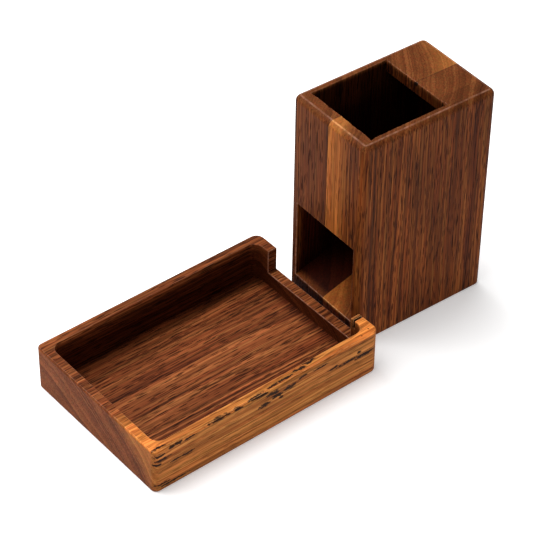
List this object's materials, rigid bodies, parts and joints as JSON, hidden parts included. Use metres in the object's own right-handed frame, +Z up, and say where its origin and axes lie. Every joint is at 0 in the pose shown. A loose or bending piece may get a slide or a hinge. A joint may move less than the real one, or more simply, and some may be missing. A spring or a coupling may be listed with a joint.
{
  "type": "dice tower",
  "caption": "Pocket wooden dice tower made of glued half shells with an inner baffle and ramp, and a shallow rolling tray with a notched end that stands at its exit.",
  "frame": {"origin": "bottom centre of the box around the set as it stands in use, on the surface it stands on", "axes": "+Z up, +Y along the tray from its closed end towards the tower, +X to the right when looking along +Y; the tower is turned 2.16 degrees clockwise (seen from above) from the tray, as it is stood beside it"},
  "size_m": [0.0572, 0.1348, 0.0742],
  "materials": {
    "tower_left_wood": "oiled satin walnut, dark purple-brown heartwood",
    "tower_right_wood": "oiled satin walnut, golden sapwood band at the glue line",
    "tray_wood": "oiled satin walnut, reddish with golden, black-streaked sapwood on the right wall"
  },
  "bodies": {
    "tower": {"tower_left_half": "tower_left_wood", "tower_right_half": "tower_right_wood"},
    "tray": {"rolling_tray": "tray_wood"}
  },
  "joints": [
    {"name": "tray_pull", "type": "slide", "parent": "tower", "child": "tray", "axis": [0, -1, 0], "range_m": [-0.001, 0.1]}
  ]
}
